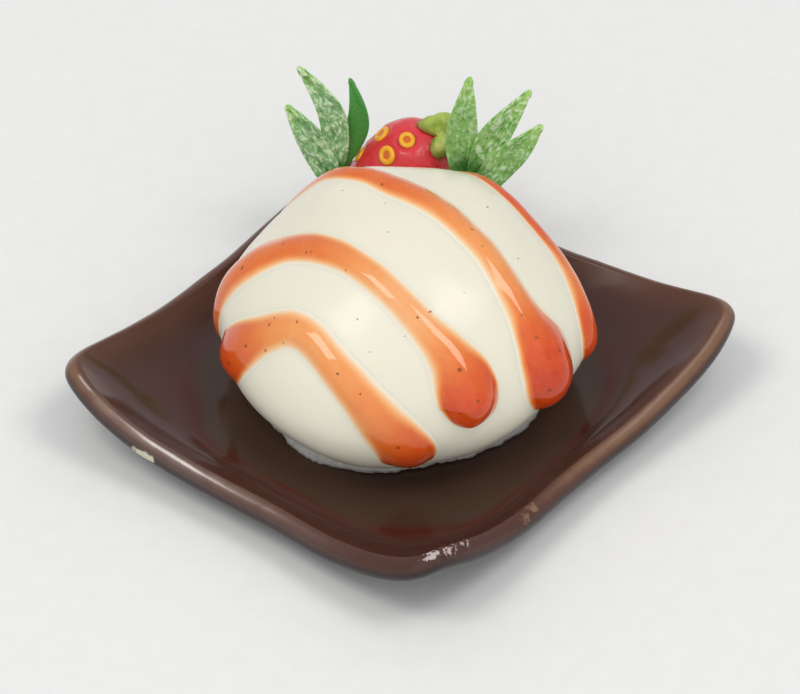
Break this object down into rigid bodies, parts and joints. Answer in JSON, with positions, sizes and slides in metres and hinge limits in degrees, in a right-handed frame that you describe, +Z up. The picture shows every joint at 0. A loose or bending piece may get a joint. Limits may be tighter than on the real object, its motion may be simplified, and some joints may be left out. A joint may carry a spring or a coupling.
{
  "type": "miniature panna cotta on plate",
  "caption": "Dolls'-house panna cotta: a cream dome with orange sauce ribbons, a strawberry and leaf sprigs behind it, on a square glazed plate with raised corners.",
  "frame": {"origin": "middle of the plate's flat foot, on the surface it stands on", "axes": "+Z up; -Y towards the viewer and the plate's front corner; +X towards its right corner"},
  "size_m": [0.0354, 0.033, 0.0122],
  "materials": {
    "brown_glaze": "glossy dark brown glaze, thin and tan along the rim",
    "cream": "smooth satin cream resin with a few dark specks",
    "orange_sauce": "wet, slightly clear orange resin",
    "berry_red": "glossy red",
    "seed_yellow": "glossy yellow-orange rings",
    "calyx_green": "satin yellow-green",
    "leaf_green": "wrinkled matt green with whitish streaks"
  },
  "bodies": {
    "root": {"plate": "brown_glaze", "panna_cotta": "cream", "strawberry": "berry_red", "calyx": "calyx_green", "leaves_left": "leaf_green", "leaves_right": "leaf_green"}
  },
  "joints": []
}
